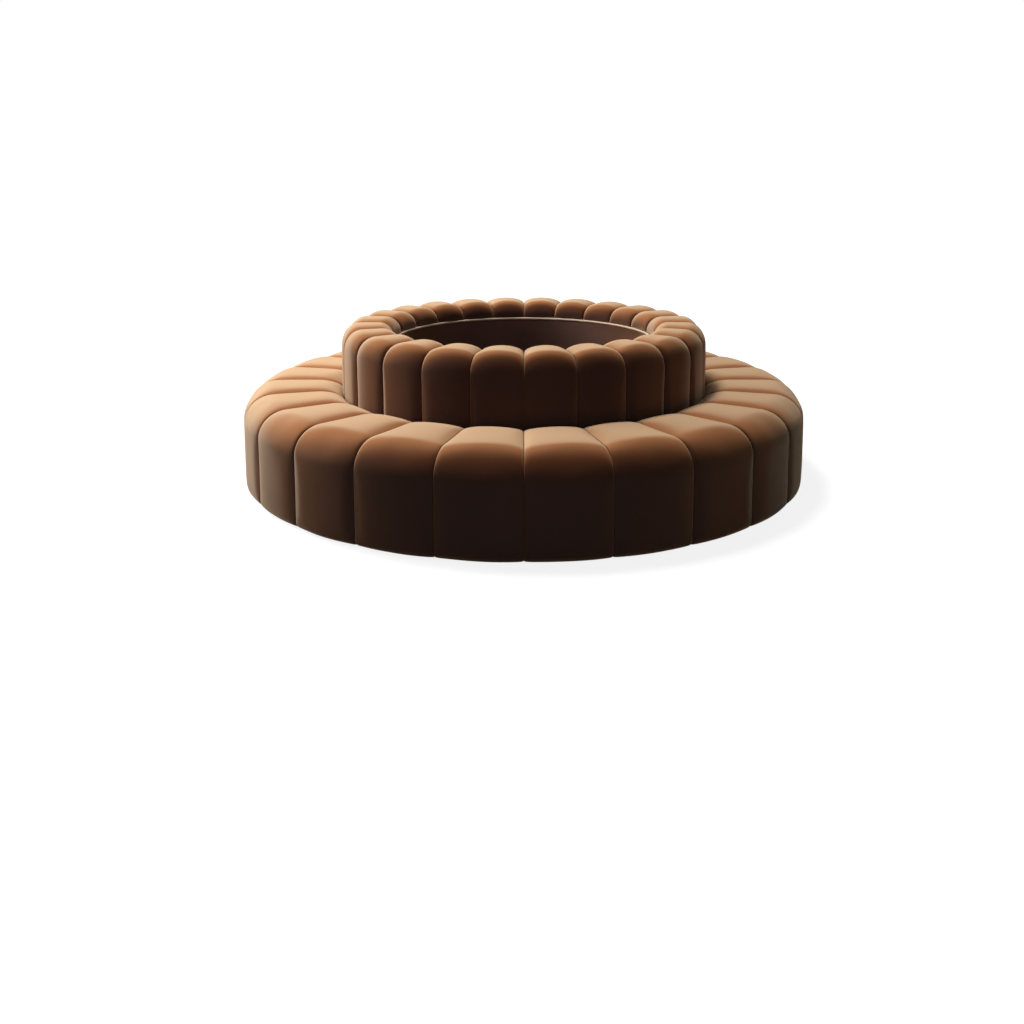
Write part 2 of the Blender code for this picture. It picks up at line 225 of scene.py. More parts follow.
velvetLook = {
    "shade": (0.062, 0.028, 0.020),       # pile brushed away from the light
    "light": (0.098, 0.044, 0.031),       # pile brushed towards it
    "crownShade": (0.088, 0.027, 0.010),  # both on the crowns: painted light, warmer and redder than the upright faces as if lit from above
    "crownLight": (0.134, 0.040, 0.0135),
    "crownRange": (0.1, 0.7),             # how far a surface looks up where a crown begins and is full
    "glow": (0.390, 0.155, 0.060),        # painted sheen, half turned away from the view
    "paintedSheen": (0.630, 0.405, 0.236),        # painted sheen, turned away from the view
    "sideGlow": (0.195, 0.086, 0.044),    # both painted sheen on upright faces, less of it than on the crowns
    "sidePaintedSheen": (0.550, 0.370, 0.245),
    "glowRange": (0.08, 0.50),            # how far turned away each of them begins and is full
    "paintedSheenRange": (0.46, 0.80),
    "paintedSeamShade": (0.040, 0.015, 0.011),     # painted shade down in the seams
    "sheen": 0.3,
    "sheenTint": (1.0, 0.64, 0.36),
    "sheenRoughness": 0.30,
    "specular": 0.07,
    "roughness": 0.78,
    "roughnessEnds": (0.70, 0.86),
    "patchScale": 2.6,                    # broad patches, about a channel wide
    "patchRange": (0.34, 0.66),
    "patchShare": 0.65,
    "mottleScale": 46.0,                  # fine mottle over them
    "mottleDetail": (5.0, 0.62),
    "mottleShare": 0.35,
    "pileScale": 1500.0,
    "pileDetail": (2.0, 0.7),
    "pileHeight": 0.0004,
    "seamWidth": 0.0022,
}


def makeVelvet(name, look, seams=True):
    material, tree, shader = newMaterial(name, look["light"], look["roughness"])
    shader.inputs["Sheen Weight"].default_value = look["sheen"]
    shader.inputs["Sheen Roughness"].default_value = look["sheenRoughness"]
    shader.inputs["Sheen Tint"].default_value = (*look["sheenTint"], 1)
    shader.inputs["Specular IOR Level"].default_value = look["specular"]
    place = onPiece(tree)
    patches = grain(tree, place, look["patchScale"])
    patches = ranged(tree, patches, *look["patchRange"], high=look["patchShare"])
    mottle = grain(tree, place, look["mottleScale"], *look["mottleDetail"])
    mottle = calc(tree, "MULTIPLY_ADD", mottle, look["mottleShare"], patches)
    # Painted light: surfaces that look up are painted a warmer, redder brown than the upright faces, as
    # if lit from above
    onCrown = ranged(tree, upwards(tree), *look["crownRange"])
    shade = mixed(tree, onCrown, look["shade"], look["crownShade"])
    light = mixed(tree, onCrown, look["light"], look["crownLight"])
    surface = mixed(tree, mottle, shade, light)

    # Painted sheen: the base colour is painted paler where the surface turns away from the view, more
    # strongly on the crowns than on upright faces
    turned = tree.nodes.new("ShaderNodeLayerWeight")
    turned.inputs["Blend"].default_value = 0.5
    for limits, side, crown in (("glowRange", "sideGlow", "glow"), ("paintedSheenRange", "sidePaintedSheen", "paintedSheen")):
        share = ranged(tree, turned.outputs["Facing"], *look[limits], kind="SMOOTHSTEP")
        surface = mixed(tree, share, surface, mixed(tree, onCrown, look[side], look[crown]))
    # Painted shade: the colour darkens within a seam's width of each seam line
    if seams:
        seam = tree.nodes.new("ShaderNodeAttribute")
        seam.attribute_name = "seamDistance"
        inSeam = ranged(tree, seam.outputs["Fac"], 0.0, look["seamWidth"], 1.0, 0.0)
        surface = mixed(tree, inSeam, surface, look["paintedSeamShade"])
    feed(tree, shader.inputs["Base Color"], surface)
    feed(tree, shader.inputs["Roughness"], ranged(tree, mottle, 0, 1, *look["roughnessEnds"]))
    raised(tree, shader, grain(tree, place, look["pileScale"], *look["pileDetail"]), look["pileHeight"])
    return material


velvet = makeVelvet("brown_velvet", velvetLook)
# The well's lining is the same velvet, painted paler than the cushions to make up for the shade in the
# well
liningLook = {**velvetLook, "shade": (0.130, 0.066, 0.050), "light": (0.200, 0.102, 0.076)}
liningVelvet = makeVelvet("well_velvet", liningLook, seams=False)
# The welt is the same velvet, painted pale all round: a painted highlight for the light that catches its
# thin cord
paleAllRound = ("crownShade", "crownLight", "glow", "paintedSheen", "sideGlow", "sidePaintedSheen")
weltLook = {**velvetLook, "shade": (0.70, 0.53, 0.39), "light": (0.84, 0.66, 0.50),
            **dict.fromkeys(paleAllRound, (0.80, 0.60, 0.43))}
weltVelvet = makeVelvet("welt_velvet", weltLook, seams=False)


plywoodLook = {
    "pale": (0.62, 0.45, 0.27),
    "dark": (0.47, 0.31, 0.17),
    "glueLine": (0.22, 0.12, 0.06),
    "roughness": 0.60,
    "roughnessEnds": (0.52, 0.70),
    "fineGrain": 70.0,       # across the grain
    "longGrain": 2.5,        # along it
    "grainDetail": (6.0, 0.6),
    "grainRange": (0.30, 0.70),
    "grainHeight": 0.0002,
    "veneer": 0.0014,        # thickness of one ply
    "glueRange": (0.1, 0.6),
}


# Veneer on the faces, and the plies' dark glue lines on the edges up to a level
def makePlywood(name, look, upright, edgesBelow=2.0):
    material, tree, shader = newMaterial(name, look["pale"], look["roughness"])
    fine, long = look["fineGrain"], look["longGrain"]
    stretch = (fine, fine, long) if upright else (long, fine, fine)
    figure = grain(tree, onPiece(tree, stretch), 1.0, *look["grainDetail"])
    face = mixed(tree, ranged(tree, figure, *look["grainRange"]), look["pale"], look["dark"])

    place = tree.nodes.new("ShaderNodeTexCoord")
    axes = tree.nodes.new("ShaderNodeSeparateXYZ")
    tree.links.new(place.outputs["Object"], axes.inputs["Vector"])
    level = calc(tree, "ABSOLUTE", upwards(tree))
    if upright:
        squared = calc(tree, "MULTIPLY", axes.outputs["X"], axes.outputs["X"])
        squared = calc(tree, "MULTIPLY_ADD", axes.outputs["Y"], axes.outputs["Y"], squared)
        depth = calc(tree, "SQRT", squared)
        onEdge = calc(tree, "GREATER_THAN", level, 0.5)
    else:
        depth = axes.outputs["Z"]
        onEdge = calc(tree, "LESS_THAN", level, 0.5)
    onEdge = calc(tree, "MULTIPLY", onEdge, calc(tree, "LESS_THAN", axes.outputs["Z"], edgesBelow))
    plies = calc(tree, "SINE", calc(tree, "MULTIPLY", depth, math.pi / look["veneer"]))
    edge = mixed(tree, ranged(tree, plies, *look["glueRange"]), look["pale"], look["glueLine"])
    feed(tree, shader.inputs["Base Color"], mixed(tree, onEdge, face, edge))
    roughness = ranged(tree, figure, *look["grainRange"], *look["roughnessEnds"])
    feed(tree, shader.inputs["Roughness"], roughness)
    raised(tree, shader, figure, look["grainHeight"])
    return material


boardPlywood = makePlywood("birch_boards", plywoodLook, upright=False)
# The ribs stand on the base board and show faces only, so the glue lines end with the board
framePlywood = makePlywood("birch_frame", plywoodLook, upright=False, edgesBelow=0.03)
bentPlywood = makePlywood("bent_birch", plywoodLook, upright=True)


glideLook = {
    "plastic": (0.030, 0.030, 0.032),
    "scuffed": (0.110, 0.107, 0.100),
    "roughness": 0.48,
    "wornRoughness": 0.7,
    "soleFacing": -0.9,      # what looks down further than this is the sole
    "scuffScale": 160.0,
    "scuffDetail": (6.0, 0.7),
    "scuffStretch": (1, 4, 1),
    "scuffRange": (0.5, 0.7),
    "mouldScale": 900.0,
    "mouldHeight": 0.00015,
}


def makeGlidePlastic(look):
    material, tree, shader = newMaterial("glide_polythene", look["plastic"], look["roughness"])
    sole = calc(tree, "LESS_THAN", upwards(tree), look["soleFacing"])
    scuffs = grain(tree, onPiece(tree, look["scuffStretch"]), look["scuffScale"], *look["scuffDetail"])
    worn = calc(tree, "MULTIPLY", sole, ranged(tree, scuffs, *look["scuffRange"]))
    feed(tree, shader.inputs["Base Color"], mixed(tree, worn, look["plastic"], look["scuffed"]))
    roughness = ranged(tree, worn, 0, 1, look["roughness"], look["wornRoughness"])
    feed(tree, shader.inputs["Roughness"], roughness)
    raised(tree, shader, grain(tree, onPiece(tree), look["mouldScale"]), look["mouldHeight"])
    return material


glidePlastic = makeGlidePlastic(glideLook)


steelLook = {
    "bright": (0.66, 0.65, 0.61),
    "dull": (0.46, 0.46, 0.45),
    "roughnessEnds": (0.26, 0.46),
    "cloudScale": 220.0,     # the dull clouds of the plating
    "cloudDetail": (4.0, 0.6),
    "cloudRange": (0.35, 0.65),
    "scratchScale": 40.0,
    "scratchDetail": 3.0,
    "scratchStretch": (3, 3, 60),
    "scratchHeight": 0.00005,
}


def makeZincSteel(look):
    smoothest = look["roughnessEnds"][0]
    material, tree, shader = newMaterial("zinc_plated_steel", look["bright"], smoothest, metallic=1.0)
    clouds = grain(tree, onPiece(tree), look["cloudScale"], *look["cloudDetail"])
    clouds = ranged(tree, clouds, *look["cloudRange"])
    feed(tree, shader.inputs["Base Color"], mixed(tree, clouds, look["bright"], look["dull"]))
    feed(tree, shader.inputs["Roughness"], ranged(tree, clouds, 0, 1, *look["roughnessEnds"]))
    place = onPiece(tree, look["scratchStretch"])
    scratches = grain(tree, place, look["scratchScale"], look["scratchDetail"])
    raised(tree, shader, scratches, look["scratchHeight"])
    return material


zincSteel = makeZincSteel(steelLook)


clothLook = {
    "cloth": (0.020, 0.020, 0.022),
    "fibre": (0.060, 0.060, 0.062),
    "roughness": 0.80,
    "sheen": 0.2,
    "fibreScale": 260.0,
    "fibreDetail": (6.0, 0.75),
    "fibreStretch": (1, 3, 1),
    "fibreRange": (0.4, 0.7),
    "bondScale": 420.0,      # the dimples that hold the fibres together
    "bondRandomness": 0.15,
    "bondRange": (0.15, 0.45),
    "bondRoughness": 0.55,
    "bondHeight": 0.0003,
}


def makeDustCloth(look):
    material, tree, shader = newMaterial("black_nonwoven", look["cloth"], look["roughness"])
    shader.inputs["Sheen Weight"].default_value = look["sheen"]
    fibres = grain(tree, onPiece(tree, look["fibreStretch"]), look["fibreScale"], *look["fibreDetail"])
    bonds = tree.nodes.new("ShaderNodeTexVoronoi")
    bonds.inputs["Scale"].default_value = look["bondScale"]
    bonds.inputs["Randomness"].default_value = look["bondRandomness"]
    tree.links.new(onPiece(tree), bonds.inputs["Vector"])
    dimples = ranged(tree, bonds.outputs["Distance"], *look["bondRange"])
    strands = calc(tree, "MULTIPLY", ranged(tree, fibres, *look["fibreRange"]), dimples)
    feed(tree, shader.inputs["Base Color"], mixed(tree, strands, look["cloth"], look["fibre"]))
    roughness = ranged(tree, dimples, 0, 1, look["bondRoughness"], look["roughness"])
    feed(tree, shader.inputs["Roughness"], roughness)
    raised(tree, shader, calc(tree, "ADD", dimples, fibres), look["bondHeight"])
    return material


dustCloth = makeDustCloth(clothLook)
print("scene: finishes made")


# Sections of the cushions

# A corner is its radius and level, the width and height of its rounding, the steps round it and
# along the run after it, and whether the cover is held there
def outline(corners):
    points, held = [], []
    for index, corner in enumerate(corners):
        x, z, width, height, steps, runSteps, isHeld = corner
        before, after = corners[index - 1], corners[(index + 1) % len(corners)]
        uprightFirst = abs(before[0] - x) < 1e-6
        levelEnd, uprightEnd = (after, before) if uprightFirst else (before, after)
        across = math.copysign(width, levelEnd[0] - x)
        along = math.copysign(height, uprightEnd[1] - z)
        for step in range(steps + 1):
            turn = math.pi / 2 * step / max(steps, 1)
            if not uprightFirst:
                turn = math.pi / 2 - turn
            points.append((x + across * (1 - math.cos(turn)), z + along * (1 - math.sin(turn))))
            held.append(isHeld)
        points.append(runSteps)
        held.append(isHeld)
    filled, filledHeld = [], []
    for index, point in enumerate(points):
        if not isinstance(point, int):
            filled.append(point)
            filledHeld.append(held[index])
            continue
        start, end = points[index - 1], points[(index + 1) % len(points)]
        for step in range(1, point):
            share = step / point
            filled.append(tuple(a + (b - a) * share for a, b in zip(start, end)))
            filledHeld.append(held[index])
    return filled, filledHeld


seatPad = {
    "node": "seat_cushion",
    "channels": 6,             # in a quarter
    "radius": 1.250,
    "heelRadius": 0.8203,
    "rise": 0.012,             # how far the padding stands over its solid
    "topSeam": 0.023,          # depth of a seam below the crowns beside it
    "faceSeam": 0.015,
    "hemDrop": 0.005,          # the skirt hangs this far below the base
    "hemLift": 0.004,          # and its seams pull it up by this much
    "nose": 0.118,             # how far back the front edge starts to round
    "heel": (0.110, 0.045),    # width and height of the rounding at the back's foot
    "hemRounding": 0.022,
    "topCrown": (2.0, 0.60, 0.30, 18),    # arc across a channel, and the roll into its seams
    "faceCrown": (2.4, 0.55, 0.62, 26),
    "steps": 32,               # across a channel
    "crowding": 0.82,          # how far the steps crowd towards the seams
    "swell": 0.005,            # room left for the padding to push the cover out
    "ease": 12,                # rounds of easing out the creases that the swelling makes
}


def seatSection(full, shy):
    pad = seatPad
    sunk = 1 - full
    outer = pad["radius"] - pad["faceSeam"] * sunk - shy * full
    top = seatTop + pad["rise"] - pad["topSeam"] * sunk - shy * full
    hem = hemLevel - pad["hemDrop"] + pad["hemLift"] * sunk
    under = deckTop + fit
    inner = frontBoardFace + 2 * fit
    rounding = pad["hemRounding"]
    return outline([
        (outer, hem, rounding, rounding, 5, 17, False),
        (outer, top, pad["nose"], top - under, 14, 14, False),
        (pad["heelRadius"], top, *pad["heel"], 11, 3, False),
        (pad["heelRadius"], under, 0, 0, 0, 8, True),
        (inner, under, 0, 0, 0, 6, True),
        (inner, hem, 0, 0, 0, 1, True),
    ])


backPad = {
    "node": "back_cushion",
    "channels": 6,
    "radius": 0.820,
    "rise": 0.029,
    "wellRadius": 0.586,
    "topSeam": 0.034,          # depth of a seam over the top,
    "faceSeam": 0.016,         # down the face
    "wellSeam": 0.016,         # and down to the welt
    "nose": (0.074, 0.085),    # width and height of the rounding over the face
    "lip": (0.062, 0.062),     # and of the one over the well
    "hemRounding": 0.006,
    "hemShare": 0.8,           # the most of the flap's thickness that this rounding takes
    "topCrown": (2.0, 0.62, 0.16, 14),
    "faceCrown": (2.4, 0.55, 0.55, 20),
    "steps": 30,
    "crowding": 0.82,
    "swell": 0.004,
    "ease": 12,
}


def backSection(full, shy):
    pad = backPad
    sunk = 1 - full
    outer = pad["radius"] - pad["faceSeam"] * sunk - shy * full
    top = backTop + pad["rise"] - pad["topSeam"] * sunk - shy * full
    inner = pad["wellRadius"] + pad["wellSeam"] * sunk + shy * full
    foot = deckTop + fit
    under = railTop + fit
    flapBack = wellBoardFace - 2 * fit
    faceBack = backBoardFace + 2 * fit
    rounding = min(pad["hemRounding"], (flapBack - inner) * pad["hemShare"])
    return outline([
        (outer, foot, 0, 0, 0, 14, False),
        (outer, top, *pad["nose"], 11, 4, False),
        (inner, top, *pad["lip"], 11, 2, False),
        (inner, flapHem, rounding, rounding, 4, 1, False),
        (flapBack, flapHem, 0, 0, 0, 2, True),
        (flapBack, under, 0, 0, 0, 6, True),
        (faceBack, under, 0, 0, 0, 8, True),
        (faceBack, foot, 0, 0, 0, 1, True),
    ])


liningPad = {
    "node": "well_lining",
    "channels": 1,             # one plain panel in each quarter
    "behindWelt": 0.003,       # face of the panel behind the middle of the welt
    "faceSeam": 0.001,
    "underWelt": 0.0015,       # top of the panel below the middle of the welt
    "topRounding": 0.007,
    "footRounding": 0.006,
    "topCrown": (40, 0.5, 0, 1),
    "faceCrown": (40, 0.5, 0, 1),
    "steps": 72,
    "crowding": 0.94,
    "swell": 0.0015,
    "ease": 4,
}
welt = {
    "radius": 0.0045,
    "proud": (0.001, 0.0015),    # how far it stands into the well, and up
    "sides": 14,
    "steps": 120,
}
weltLine = (liningBead - welt["proud"][0], liningTop - welt["radius"] + welt["proud"][1])


def liningSection(full, shy):
    pad = liningPad
    face = weltLine[0] + pad["behindWelt"] + pad["faceSeam"] * (1 - full) + shy * full
    top = weltLine[1] - pad["underWelt"]
    thickness = liningBack - face
    return outline([
        (liningBack, liningFoot, 0, 0, 0, 20, True),
        (liningBack, top, 0, 0, 0, 1, True),
        (face, top, min(pad["topRounding"], thickness), pad["topRounding"], 4, 24, False),
        (face, liningFoot, min(pad["footRounding"], thickness), pad["footRounding"], 4, 1, False),
    ])


# One channel, from a section spun between its two seams

def spinSection(name, section, angle, steps):
    deselectAll()
    bpy.ops.mesh.primitive_circle_add(vertices=len(section), radius=1, fill_type="NGON")
    piece = bpy.context.object
    piece.name = piece.data.name = name
    for vertex, (radius, level) in zip(piece.data.vertices, section):
        vertex.co = (radius, 0, level)
    editAll(piece)
    bpy.ops.mesh.spin(steps=steps, angle=-angle, center=(0, 0, 0), axis=(0, 0, 1), dupli=False)
    bpy.ops.mesh.select_all(action="SELECT")
    bpy.ops.mesh.normals_make_consistent(inside=False)
    bpy.ops.object.mode_set(mode="OBJECT")
    return piece


def crowd(share, amount):
    return share - amount * math.sin(2 * math.pi * share) / (2 * math.pi)


# A broad arc from seam to seam, and a tight roll where the cover turns down into each seam
def crownShape(share, shape):
    power, root, rollShare, rollPower = shape
    away = abs(2 * share - 1)
    arc = max(0.0, 1 - away ** power) ** root
    roll = max(0.0, 1 - away ** rollPower) ** 0.5
    return arc * (1 - rollShare) + roll * rollShare


def blankChannel(name, sectionOf, pad):
    shy = pad["swell"]
    turn = quarterTurn / pad["channels"]
    crown, held = sectionOf(1.0, shy)
    seam, _ = sectionOf(0.0, shy)
    piece = spinSection(name, crown, turn, pad["steps"])
    count = len(crown)
    crown, seam = np.array(crown), np.array(seam)
    points = np.empty((count * (pad["steps"] + 1), 3))
    pins = np.zeros(len(points))
    for step in range(pad["steps"] + 1):
        share = crowd(step / pad["steps"], pad["crowding"])
        full = np.array([crownShape(share, pad["faceCrown"]), crownShape(share, pad["topCrown"])])
        ring = seam + (crown - seam) * full
        rows = slice(step * count, (step + 1) * count)
        points[rows, 0] = ring[:, 0] * math.cos(turn * share)
        points[rows, 1] = ring[:, 0] * math.sin(turn * share)
        points[rows, 2] = ring[:, 1]
        pins[rows] = np.where(held, 1.0, 1.0 if step in (0, pad["steps"]) else 0.0)
    movePoints(piece, points)
    return piece, pins


swelling = {
    "pressure": 4.0,
    "stretch": 8,            # how stiff the cover is against stretching
    "bend": 0.8,             # and against bending
    "quality": 6,
    "frames": 20,
}


# Padding pushes the cover out; the seams and the edges inside the sofa are held
def swellChannel(piece, pins, pad):
    before = meshPoints(piece)
    held = piece.vertex_groups.new(name="held")
    for index in np.flatnonzero(pins > 0):
        held.add([int(index)], float(pins[index]), "REPLACE")
    activate(piece)
    bpy.ops.object.modifier_add(type="CLOTH")
    cloth = piece.modifiers["Cloth"]
    cloth.settings.vertex_group_mass = "held"
    cloth.settings.use_pressure = True
    cloth.settings.uniform_pressure_force = swelling["pressure"]
    cloth.settings.effector_weights.gravity = 0
    cloth.settings.quality = swelling["quality"]
    cloth.settings.tension_stiffness = swelling["stretch"]
    cloth.settings.compression_stiffness = swelling["stretch"]
    cloth.settings.bending_stiffness = swelling["bend"]
    cloth.point_cache.frame_start = 1
    cloth.point_cache.frame_end = swelling["frames"]
    for step in range(1, swelling["frames"] + 1):
        bpy.context.scene.frame_set(step)
    activate(piece)
    bpy.ops.object.modifier_apply(modifier="Cloth")
    bpy.context.scene.frame_set(1)
    moved = (meshPoints(piece) - before).reshape(pad["steps"] + 1, -1, 3)
    free = (pins == 0).reshape(pad["steps"] + 1, -1, 1)
    for _ in range(pad["ease"]):
        across = np.roll(moved, 1, axis=0) + np.roll(moved, -1, axis=0)
        along = np.roll(moved, 1, axis=1) + np.roll(moved, -1, axis=1)
        moved = np.where(free, moved / 2 + (across + along) / 8, 0)
    moved = moved.reshape(-1, 3)
    length = np.linalg.norm(moved, axis=1)
    most = pad["swell"]
    kept = most * np.tanh(length / most) / np.maximum(length, 1e-9)
    movePoints(piece, before + moved * kept[:, None])
    piece.vertex_groups.clear()
    print(f"scene: {piece.name} swelled {length.max() * 1000:.1f} mm, kept to {most * 1000:.1f} mm")


def markSeams(piece, turn):
    distance = piece.data.attributes.new("seamDistance", "FLOAT", "POINT")
    points = meshPoints(piece)
    share = (np.arctan2(points[:, 1], points[:, 0]) / turn) % 1.0
    away = np.minimum(share, 1 - share) * turn * np.hypot(points[:, 0], points[:, 1])
    distance.data.foreach_set("value", away)


# The flat ends of a spun piece are the only faces with more than four corners
def selectEnds(piece):
    editAll(piece)
    bpy.ops.mesh.select_all(action="DESELECT")
    bpy.ops.object.mode_set(mode="OBJECT")
    for face in piece.data.polygons:
        face.select = len(face.vertices) > 4
    bpy.ops.object.mode_set(mode="EDIT")


def openChannel(channel):
    selectEnds(channel)
    bpy.ops.mesh.delete(type="ONLY_FACE")
    bpy.ops.object.mode_set(mode="OBJECT")


def creaseSeams(whole, turn):
    mesh = whole.data
    points = meshPoints(whole)
    step = np.arctan2(points[:, 1], points[:, 0]) / turn
    onSeam = np.abs(step - np.round(step)) < 0.001       # within a thousandth of a channel
    crease = mesh.attributes.new("crease_edge", "FLOAT", "EDGE")
    for edge in mesh.edges:
        a, b = edge.vertices
        if onSeam[a] and onSeam[b]:
            crease.data[edge.index].value = 1.0


def closeEnds(whole):
    editAll(whole)
    bpy.ops.mesh.select_all(action="DESELECT")
    bpy.ops.mesh.select_mode(type="EDGE")
    bpy.ops.mesh.select_non_manifold(extend=False, use_wire=False, use_boundary=True,
                                     use_multi_face=False, use_non_contiguous=False, use_verts=False)
    bpy.ops.mesh.fill_holes(sides=0)
    selectEnds(whole)
    bpy.ops.mesh.select_mode(type="FACE")
    bpy.ops.mesh.quads_convert_to_tris(quad_method="BEAUTY", ngon_method="BEAUTY")
    bpy.ops.mesh.select_all(action="SELECT")
    bpy.ops.mesh.normals_make_consistent(inside=False)
    bpy.ops.object.mode_set(mode="OBJECT")


mergeDistance = 0.00002      # joins the edges of neighbouring channels


def quarterCover(channel, name, channels):
    turn = quarterTurn / channels
    whole = joined([turnedCopy(channel, f"{name}_{k}", k * turn) for k in range(channels)], name)
    editAll(whole)
    bpy.ops.mesh.remove_doubles(threshold=mergeDistance)
    bpy.ops.object.mode_set(mode="OBJECT")
    creaseSeams(whole, turn)
    subdivide(whole)
    closeEnds(whole)
    smooth(whole, degrees=60)
    markSeams(whole, turn)
    return whole


settling = {
    "fade": 0.05,            # the waver grows from nothing at a seam to its full size this far away
    "scale": 6.0,
    "seedStep": 7.0,         # each quarter wavers in its own way
}


# Foam never settles quite evenly: a slow waver of the covers
def settle(piece, amount, seed):
    normals = np.empty(len(piece.data.vertices) * 3)
    piece.data.vertices.foreach_get("normal", normals)
    normals = normals.reshape(-1, 3)
    points = meshPoints(piece)
    away = np.empty(len(points))
    piece.data.attributes["seamDistance"].data.foreach_get("value", away)
    fade = np.clip(away / settling["fade"], 0, 1)
    waver = np.array([noise.noise(Vector(p) * settling["scale"] + Vector((seed, 0, 0))) for p in points])
    movePoints(piece, points + normals * (waver * fade * amount)[:, None])


# Pad, section, finish, slot, waver, and how full of foam the cover is
covers = [
    (seatPad, seatSection, velvet, "velvet", 0.0012, 0.85),
    (backPad, backSection, velvet, "velvet", 0.0012, 0.85),
    (liningPad, liningSection, liningVelvet, "lining_velvet", 0.0006, 0.3),
]
for pad, sectionOf, finish, slotName, waver, fill in covers:
    channel, pins = blankChannel(pad["node"] + "_channel", sectionOf, pad)
    swellChannel(channel, pins, pad)
    openChannel(channel)
    for index, quarter in enumerate(quarters):
        cover = quarterCover(channel, f"{quarter}_{pad['node']}_cover", pad["channels"])
        settle(cover, waver, index * settling["seedStep"])
        cover.data.transform(Matrix.Rotation(quarterTurn * index, 4, "Z"))
        dress(cover, finish)
        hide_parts(f"{quarter}_{pad['node']}")
    bpy.data.objects.remove(channel)
    print("scene:", pad["node"], "covers made,", len(cover.data.polygons), "faces each")


# The welt: a corded edge sewn between the flap of the back and the lining

cord = []
for k in range(welt["sides"]):
    turn = 2 * math.pi * k / welt["sides"]
    outward, upward = welt["radius"] * math.cos(turn), welt["radius"] * math.sin(turn)
    cord.append((weltLine[0] + outward, weltLine[1] + upward))
weltPart = spinSection("welt", cord, quarterTurn, welt["steps"])
smooth(weltPart, degrees=40)
for index, quarter in enumerate(quarters):
    piece = turnedCopy(weltPart, f"{quarter}_welt", quarterTurn * index)
    dress(piece, weltVelvet)
bpy.data.objects.remove(weltPart)
print("scene: welt made")


# The dust cover: black cloth under the base, its edges folded under and stapled

dustCover = {
    "thickness": 0.0005,
    "fold": 0.016,           # width of the edge that is turned under
    "foldLine": 0.001,       # half the width of the step down beside it
    "foldDepth": 0.0008,
    "sag": 0.0015,
    "sagPowers": (0.7, 0.5),     # how flat the sag is in the middle, across the ring and round it
    "unevenness": (0.8, 0.5),    # the share of the sag that is even, and of the waver in it
    "unevenScale": 3,
    "glideGrip": 0.070,      # how far a glide holds the cloth up around it
    "pucker": 0.0005,        # between two staples
    "puckerReach": 0.035,
    "radialSteps": 40,
    "turnSteps": 72,
}
staples = {
    "crown": (0.0105, 0.0013, 0.0006),    # length, width and thickness
    "leg": (0.0009, 0.0013, 0.0016),
    "rounding": 0.00025,
    "pitch": 0.090,
    "inset": 0.008,          # from the cloth's edge
}
dustInner, dustOuter = nodeRadii("rear_right_dust_cover")
dustTop = nodeLevels("rear_right_dust_cover")[1]
hemUnderside = dustTop - dustCover["thickness"] - dustCover["foldDepth"]


# Lines across a run of cloth: evenly spaced, with two close together at the inside of each fold
def foldedRun(length, steps):
    pad = dustCover
    near = [0.0, pad["fold"] - pad["foldLine"], pad["fold"] + pad["foldLine"]]
    middle = [near[-1] + (length - 2 * near[-1]) * k / (steps - 4) for k in range(1, steps - 4)]
    return near + middle + [length - distance for distance in reversed(near)]


def dustLevels(radius, turn, gripped):
    pad = dustCover
    alongArc, alongEnd = radius * turn, radius - dustInner
    edges = [(alongEnd, alongArc), (dustOuter - radius, alongArc),
             (alongArc, alongEnd), (radius * (quarterTurn - turn), alongEnd)]
    nearest = min(distance for distance, _ in edges)
    width = dustOuter - dustInner
    acrossPower, roundPower = pad["sagPowers"]
    across = math.sin(math.pi * alongEnd / width) ** acrossPower
    drop = pad["sag"] * across * math.sin(2 * turn) ** roundPower
    even, uneven = pad["unevenness"]
    place = Vector((radius * pad["unevenScale"], turn * pad["unevenScale"], 0))
    drop *= even + uneven * noise.noise(place)
    for distance, along in edges:
        ripple = 0.5 - 0.5 * math.cos(2 * math.pi * along / staples["pitch"])
        fade = math.exp(-max(distance - staples["inset"], 0) / pad["puckerReach"])
        drop += pad["pucker"] * ripple * fade * min(1, distance / staples["inset"])
    for centre in gripped:
        away = math.dist(centre, (radius * math.cos(turn), radius * math.sin(turn)))
        drop *= 1 - math.exp(-(away / pad["glideGrip"]) ** 2)
    folded = pad["foldDepth"] if nearest < pad["fold"] else 0
    top = dustTop - drop
    return top - pad["thickness"] - folded, top


def dustSheet(name, gripped):
    pad = dustCover
    rings = foldedRun(dustOuter - dustInner, pad["radialSteps"])
    blank = [(dustInner + r, 0.0) for r in rings]
    blank += [(dustInner + r, pad["thickness"]) for r in reversed(rings)]
    sheet = spinSection(name, blank, quarterTurn, pad["turnSteps"])
    points = []
    for step in range(pad["turnSteps"] + 1):
        under, over = [], []
        for r in rings:
            radius = dustInner + r
            run = foldedRun(radius * quarterTurn - 2 * fit, pad["turnSteps"])
            turn = (fit + run[step]) / radius
            within = min(max(turn, 1e-4), quarterTurn - 1e-4)
            low, high = dustLevels(radius, within, gripped)
            under.append((radius * math.cos(turn), radius * math.sin(turn), low))
            over.append((radius * math.cos(turn), radius * math.sin(turn), high))
        points += under + over[::-1]
    movePoints(sheet, np.array(points))
    smooth(sheet, degrees=40)
    return sheet


def staplePart():
    parts = []
    for size, across in ((staples["crown"], 0), (staples["leg"], -1), (staples["leg"], 1)):
        deselectAll()
        bpy.ops.mesh.primitive_cube_add(size=1)
        part = bpy.context.object
        part.scale = size
        reach = (staples["crown"][0] - size[0]) / 2 * across
        lift = 0 if across == 0 else (staples["crown"][2] + size[2]) / 2 - staples["rounding"]
        part.location = (reach, 0, lift)
        bpy.ops.object.transform_apply(location=True, rotation=False, scale=True)
        editAll(part)
        rounding = staples["rounding"] if across == 0 else staples["rounding"] / 2
        bpy.ops.mesh.bevel(offset=rounding, segments=2)
        bpy.ops.object.mode_set(mode="OBJECT")
        parts.append(part)
    return joined(parts, "staple")


def stapleRow(length):
    count = max(2, round(length / staples["pitch"]))
    return [length * (k + 0.5) / count for k in range(count)]


